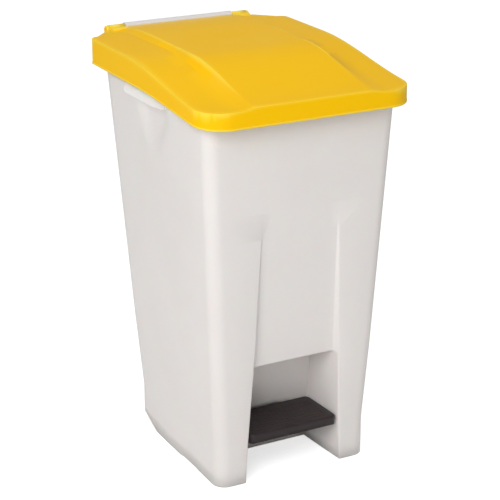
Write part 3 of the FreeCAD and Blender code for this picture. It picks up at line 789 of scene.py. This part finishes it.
    def _base(self) -> bpy.types.Object:
        """Models the raised floor, the ribs under it and the closed feet.

        Returns:
            The base.
        """
        form = Form()
        low = self.floor_top - self.wall
        rear = form.block((-0.1435, -0.1, low), (0.1435, 0.132, self.floor_top))
        self._round(form, rear, 0.132, 0.038)
        for side in (-1, 1):
            inner, outer = sorted((side * 0.0855, side * 0.1435))
            leg = form.block((inner, -0.192, low), (outer, -0.0995, self.floor_top))
            self._round(form, leg, -0.192, 0.019, side * 0.1435)
            toe_in, toe_out = sorted((side * 0.0925, side * 0.1405))
            foot = form.block((toe_in, -0.19, 0.0), (toe_out, -0.15, 0.004))
            self._round(form, foot, -0.19, 0.018, side * 0.1405)
            for rib_low, rib_high in (
                ((0.05, -0.034, 0.046), (0.056, 0.002, low + 0.0005)),
                ((0.063, 0.089, 0.0205), (0.068, 0.123, low + 0.0005)),
                ((0.102, 0.089, 0.0205), (0.107, 0.123, low + 0.0005)),
            ):
                ends = sorted((side * rib_low[0], side * rib_high[0]))
                form.block((ends[0], *rib_low[1:]), (ends[1], *rib_high[1:]))
        form.soften(form.sharp(60), 0.0006, 2)
        return form.piece("bucket_base", "bucket")

    @staticmethod
    def _round(
        form: Form, verts: list[bmesh.types.BMVert], depth: float, radius: float, across: float = 0.0
    ) -> None:
        """Rounds a plate's upright edges at one depth.

        Args:
            form: The form that the plate is in.
            verts: The plate's vertices.
            depth: The edges' y.
            radius: The rounding's radius.
            across: The one edge's x, or 0 for both edges at that depth.
        """
        ends = set(verts)
        upright = [
            e for e in form.bm.edges
            if all(v in ends and abs(v.co.y - depth) < 1e-6 for v in e.verts)
            and abs(e.verts[0].co.z - e.verts[1].co.z) > 1e-4
            and (not across or abs(e.verts[0].co.x - across) < 0.004)
        ]
        form.soften(upright, radius, 8)


# ---------------------------------------------------------------- lid


@dataclass(frozen=True)
class Lid:
    """The yellow lid: a raised middle panel, bevels beside it, shoulders, a skirt and knuckles."""

    half: float = 0.1893
    front: float = -0.2443
    rear: float = 0.189
    front_radius: float = 0.048
    rear_radius: float = 0.014
    skin: float = 0.0032
    crest: float = 0.102
    crease: float = 0.117
    crease_flare: float = 0.03
    shelf_at: float = 0.196
    crest_front: float = 0.6632
    crest_rise: float = 0.0368
    crest_run: tuple[float, float] = (-0.262, -0.035)
    crest_rear_fall: float = 0.0046
    crease_front: float = 0.6585
    crease_rise: float = 0.034
    crease_run: tuple[float, float] = (-0.28, 0.02)
    crease_rear_fall: float = 0.002
    shelf_front: float = 0.6595
    shelf_rise: float = 0.0305
    shelf_run: tuple[float, float] = (-0.235, 0.05)
    rear_fall_start: float = 0.11
    rear_fall_run: float = 0.1
    skirt_front: float = 0.6305
    skirt_rise: float = 0.017
    skirt_run: tuple[float, float] = (-0.29, 0.0)
    edge_radius: float = 0.0055
    bead: float = 0.0007
    bead_height: float = 0.0035
    tongue_half: float = 0.174
    tongue_end_half: float = 0.143
    tongue_end: float = 0.2225
    tongue_foot: float = 0.684
    hinge: tuple[float, float] = (0.235, 0.688)
    knuckle_inner: float = 0.1046
    knuckle_outer: float = 0.134
    knuckle_radius: float = 0.0083
    knuckle_bore: float = 0.0067
    knuckle_block_run: float = 0.022
    knuckle_block_low: float = 0.004
    knuckle_block_high: float = 0.0062
    knuckle_block_inset: float = 0.0004
    lower: float = 0.6
    upper: float = 0.7
    middle: float = 0.69

    def build(self, stock: Finishes) -> None:
        """Builds and dresses the lid's pieces.

        Args:
            stock: The materials.
        """
        for made in (self._cover(), self._knuckles()):
            stock.dress(made, Finish.YELLOW)

    def _surface(self, x: float, y: float) -> float:
        """Gives the height of the lid's top.

        Args:
            x: Where across the bin.
            y: Where along it.

        Returns:
            The height.
        """
        fall = (max(0.0, y - self.rear_fall_start) / self.rear_fall_run) ** 2
        crest = self.crest_front + self.crest_rise * eased(y, *self.crest_run)
        crest -= self.crest_rear_fall * fall
        crease = self.crease_front + self.crease_rise * eased(y, *self.crease_run)
        crease -= self.crease_rear_fall * fall
        shelf = self.shelf_front + self.shelf_rise * eased(y, *self.shelf_run)
        foot = self.crease + self.crease_flare * y
        return between(abs(x), ((self.crest, crest), (foot, crease), (self.shelf_at, shelf)))

    def _skirt(self, y: float) -> float:
        """Gives the height of the skirt's lower edge.

        Args:
            y: Where along the bin.

        Returns:
            The height.
        """
        return self.skirt_front + self.skirt_rise * eased(y, *self.skirt_run)

    def _cover(self) -> bpy.types.Object:
        """Models the lid's top, skirt and tongue as one skin.

        Returns:
            The cover.
        """
        form = Form()
        form.block((-self.half, self.front, self.lower), (self.half, self.rear, self.upper))
        for depth, radius in ((self.front, self.front_radius), (self.rear, self.rear_radius)):
            upright = form.edges(
                lambda a, b: abs(a.y - depth) < 1e-6 and abs(b.y - depth) < 1e-6
                and abs(a.z - b.z) > 0.05
            )
            form.soften(upright, radius, 10)
        form.cut(1, [self.front + 0.0115 + 0.0165 * step for step in range(26)])
        for side in (-1, 1):
            form.cut(0, [side * x for x in (0.04, 0.075, self.crest, self.crease, 0.145, self.tongue_half)])
        form.cut(2, [self.lower + self.bead_height, self.middle])
        form.drop(form.faces(lambda c, n: c.z < self.lower + 1e-6))
        bead = form.faces(lambda c, n: c.z < self.lower + self.bead_height)
        bmesh.ops.inset_region(
            form.bm, faces=bead, thickness=0.0006, depth=self.bead,
            use_even_offset=True, use_boundary=False,
        )
        stub = form.faces(
            lambda c, n: n.y > 0.9 and abs(c.x) < self.tongue_half and c.z > self.middle
        )
        form.push(stub, (0, self.tongue_end - self.rear, 0))
        form.drop(form.faces(lambda c, n: c.y > self.rear + 1e-4 and n.z < -0.9))
        form.warp(self._shaped)
        lines = form.edges(lambda a, b: self._on_line(a) and self._on_line(b) and abs(a.y - b.y) > 0.004)
        form.soften(lines, 0.004, 3)
        form.soften(form.sharp(48), self.edge_radius, 4)
        return form.piece("lid_cover", "lid", ["lid_shell"], skin=self.skin)

    def _shaped(self, place: Vector) -> Vector:
        """Moves a vertex of the plain block to the lid's shape.

        Args:
            place: The vertex in the plain block.

        Returns:
            Its new place.
        """
        x, y, z = place
        if y > self.rear + 1e-5:
            share = (y - self.rear) / (self.tongue_end - self.rear)
            narrow = share * (1 - self.tongue_end_half / self.tongue_half)
            x *= 1 - narrow * eased(abs(x), self.crease, self.tongue_half)
        if abs(abs(x) - self.crease) < 1e-5:
            x += math.copysign(self.crease_flare * y, x)
        if z > self.upper - 1e-5:
            return Vector((x, y, self._surface(x, y)))
        if z > self.middle - 1e-5:
            return Vector((x, y, self.tongue_foot if y > self.rear - 1e-5 else self._surface(x, y) - 0.012))
        return Vector((x, y, self._skirt(y) + z - self.lower))

    def _on_line(self, place: Vector) -> bool:
        """Says whether a point is on one of the four lines beside the raised panel.

        Args:
            place: The point.

        Returns:
            True if it is.
        """
        foot = self.crease + self.crease_flare * place.y
        across = abs(place.x)
        on_top = abs(place.z - self._surface(place.x, place.y)) < 1e-5
        return on_top and (abs(across - self.crest) < 1e-5 or abs(across - foot) < 1e-5)

    def _knuckles(self) -> bpy.types.Object:
        """Models the bored barrels on the hinge and the blocks that join them to the tongue.

        Returns:
            The knuckles.
        """
        form = Form()
        y, z = self.hinge
        for side in (-1, 1):
            ends = sorted((side * self.knuckle_inner, side * self.knuckle_outer))
            form.bar((ends[0], y, z), (ends[1], y, z), self.knuckle_radius)
            form.drop(form.faces(lambda c, n: abs(n.x) > 0.9))
        for side in (-1, 1):
            ends = sorted((side * self.knuckle_inner, side * self.knuckle_outer))
            inset = self.knuckle_block_inset
            form.block(
                (ends[0] + inset, y - self.knuckle_block_run, z - self.knuckle_block_low),
                (ends[1] - inset, y - self.knuckle_bore, z + self.knuckle_block_high),
            )
        form.soften(form.sharp(60), 0.001, 2)
        wall = self.knuckle_radius - self.knuckle_bore
        return form.piece("lid_knuckles", "lid", skin=wall)


# ---------------------------------------------------------------- pedal


@dataclass(frozen=True)
class Tread:
    """The dark pedal cover with low ribs across its top."""

    top: float = 0.0855
    front: float = -0.192
    back: float = -0.101
    half_front: float = 0.0834
    half_back: float = 0.0782
    height: float = 0.016
    radius: float = 0.009
    skin: float = 0.0038
    rib_pitch: float = 0.008
    rib_depth: float = 0.0006

    def build(self, stock: Finishes) -> None:
        """Builds and dresses the pedal cover.

        Args:
            stock: The materials.
        """
        form = Form()
        low = self.top - self.height
        form.block((-self.half_front, self.front, low), (self.half_front, self.back, self.top))
        upright = form.edges(lambda a, b: abs(a.z - b.z) > 0.01)
        form.soften(upright, self.radius, 6)
        form.drop(form.faces(lambda c, n: n.z < -0.9))
        form.soften(form.sharp(60), 0.002, 3)
        start = self.front + 0.011
        grooves = int((self.back - 0.008 - start) / self.rib_pitch)
        form.cut(1, [start + self.rib_pitch * step for step in range(grooves + 1)])
        form.cut(1, [start + self.rib_pitch * step + 0.0024 for step in range(grooves)])
        form.cut(0, [-self.half_front + 0.012, self.half_front - 0.012])
        sunk = form.faces(
            lambda c, n: n.z > 0.9 and abs(c.x) < self.half_front - 0.012
            and c.y > start and (c.y - start) % self.rib_pitch < 0.0024
            and c.y < start + self.rib_pitch * grooves
        )
        bmesh.ops.inset_region(
            form.bm, faces=sunk, thickness=0.0006, depth=-self.rib_depth, use_even_offset=True
        )
        form.warp(
            lambda p: Vector((
                p.x * between(p.y, ((self.front, 1.0), (self.back, self.half_back / self.half_front))),
                p.y, p.z,
            ))
        )
        made = form.piece("pedal_cover", "pedal", ["pedal_tread"], skin=self.skin)
        stock.dress(made, Finish.DARK)


# ---------------------------------------------------------------- sub-assemblies


@dataclass(frozen=True)
class CadPieces:
    """CAD nodes that are shown as they are, with one finish each."""

    finishes: dict[str, Finish]

    def dress(self, stock: Finishes) -> None:
        """Gives each node its finish.

        Args:
            stock: The materials.
        """
        for name, finish in self.finishes.items():
            stock.dress(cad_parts[name], finish)


SHOWN_AS_CAD = CadPieces({
    # The rear handle takes the darker white, painted shade.
    "rear_handle": Finish.DULL_WHITE, "wall_screws": Finish.STEEL,
    "hinge_rod": Finish.STEEL, "hinge_caps": Finish.YELLOW,
    "rod_guide_lower": Finish.GREY_NYLON, "rod_guide_upper": Finish.GREY_NYLON,
    "pedal_axle": Finish.STEEL, "axle_clips": Finish.STEEL,
    "wheel_stub_right": Finish.STEEL, "wheel_stub_left": Finish.STEEL,
    "stub_clips": Finish.STEEL, "lid_buffers": Finish.RUBBER,
    "lid_striker": Finish.GREY_NYLON, "hinge_bushes": Finish.NYLON, "push_rod": Finish.STEEL,
    "rod_cap": Finish.GREY_NYLON, "rod_foot": Finish.GREY_NYLON,
    "pedal_lever": Finish.DARK, "pedal_bushes": Finish.NYLON,
    "link_pin": Finish.STEEL, "link_clip": Finish.STEEL, "tread_screws": Finish.STEEL,
    "wheel_hub_right": Finish.GREY_NYLON, "wheel_hub_left": Finish.GREY_NYLON,
    "wheel_tyre_right": Finish.RUBBER, "wheel_tyre_left": Finish.RUBBER,
})


# ---------------------------------------------------------------- studio


@dataclass(frozen=True)
class SoftBox:
    """A square area lamp that hangs on one side of the bin."""

    name: str
    place: tuple[float, float, float]
    aim: tuple[float, float, float]
    side: float
    watts: float
    colour: str = "FFFFFF"

    def build(self) -> bpy.types.Object:
        """Hangs the lamp.

        Returns:
            The lamp.
        """
        lamp = bpy.data.lights.new(self.name, "AREA")
        lamp.shape = "SQUARE"
        lamp.size = self.side
        lamp.energy = self.watts
        lamp.color = linear(self.colour)[:3]
        holder = bpy.data.objects.new(self.name, lamp)
        holder.location = self.place
        holder.rotation_euler = aimed(self.place, self.aim)
        bpy.context.scene.collection.objects.link(holder)
        return holder


def aimed(place: Sequence[float], aim: Sequence[float]) -> Euler:
    """Turns something's -Z axis towards a point.

    Args:
        place: Where it stands.
        aim: The point that it looks at.

    Returns:
        The Euler angles.
    """
    return (Vector(aim) - Vector(place)).to_track_quat("-Z", "Y").to_euler()


@dataclass(frozen=True)
class Studio:
    """A pale floor, soft lamps, a white surround and the camera."""

    camera_place: tuple[float, float, float] = (-1.2434, -2.3316, 1.3239)
    camera_aim: tuple[float, float, float] = (0.0107, -0.0147, 0.3394)
    camera_roll: float = 0.0035
    lens_mm: float = 118.0
    sensor_mm: float = 36.0
    floor_half: float = 30.0
    sky: float = 0.36
    floor_lift: float = 0.62
    lamps: tuple[SoftBox, ...] = (
        SoftBox("key lamp", (-2.25, -2.05, 2.1), (0, 0, 0.35), 1.9, 66),
        SoftBox("top lamp", (0.3, 0.4, 2.8), (0, 0, 0.4), 2.0, 16),
        SoftBox("right lamp", (2.6, -1.4, 1.2), (0, 0, 0.3), 1.4, 4),
    )

    def build(self) -> None:
        """Sets up the whole studio."""
        self._floor()
        self._surround()
        self._camera()
        for lamp in self.lamps:
            lamp.build()

    def _floor(self) -> None:
        """Lays the floor."""
        bm = bmesh.new()
        bmesh.ops.create_grid(bm, x_segments=1, y_segments=1, size=self.floor_half)
        mesh = bpy.data.meshes.new("floor")
        bm.to_mesh(mesh)
        bm.free()
        floor = bpy.data.objects.new("floor", mesh)
        bpy.context.scene.collection.objects.link(floor)
        material, tree, _ = blank_material("matt white floor")
        path = add_node(tree, "ShaderNodeLightPath")
        lift = add_node(
            tree, "ShaderNodeMapRange",
            {"Value": path.outputs["Is Camera Ray"], "To Min": 0.0, "To Max": self.floor_lift},
        )
        skin = add_node(
            tree, "ShaderNodeBsdfPrincipled",
            {
                "Base Color": linear("FFFFFF"), "Roughness": 0.9, "Specular IOR Level": 0.0,
                "Emission Color": linear("FFFFFF"), "Emission Strength": lift.outputs["Result"],
            },
        )
        add_node(tree, "ShaderNodeOutputMaterial", {"Surface": skin.outputs["BSDF"]})
        mesh.materials.append(material)

    def _surround(self) -> None:
        """Fills the surroundings with even white light."""
        world = bpy.data.worlds.new("white surround")
        world.use_nodes = True
        tree = world.node_tree
        tree.nodes.clear()
        path = add_node(tree, "ShaderNodeLightPath")
        strength = add_node(
            tree, "ShaderNodeMapRange",
            {"Value": path.outputs["Is Camera Ray"], "To Min": self.sky, "To Max": 1.0},
        )
        glow = add_node(
            tree, "ShaderNodeBackground",
            {"Color": linear("FFFFFF"), "Strength": strength.outputs["Result"]},
        )
        add_node(tree, "ShaderNodeOutputWorld", {"Surface": glow.outputs["Background"]})
        bpy.context.scene.world = world

    def _camera(self) -> None:
        """Stands the camera up."""
        eye = bpy.data.cameras.new("camera")
        eye.lens = self.lens_mm
        eye.sensor_width = self.sensor_mm
        eye.clip_end = 200.0
        holder = bpy.data.objects.new("camera", eye)
        holder.location = self.camera_place
        holder.rotation_euler = aimed(self.camera_place, self.camera_aim)
        holder.rotation_euler.rotate_axis("Z", self.camera_roll)
        bpy.context.scene.collection.objects.link(holder)
        bpy.context.scene.camera = holder
        view = bpy.context.scene.view_settings
        view.view_transform = "Standard"
        view.look = "None"


# ---------------------------------------------------------------- the whole


def main() -> None:
    """Builds and dresses the bin, then the studio round it."""
    logging.basicConfig(level=logging.INFO)
    stock = Finishes()
    SHOWN_AS_CAD.dress(stock)
    LOG.info("CAD pieces dressed")
    for part in (Bucket(), Lid(), Tread()):
        part.build(stock)
        LOG.info("%s built", type(part).__name__)
    Studio().build()


if __name__ == "__main__":
    main()
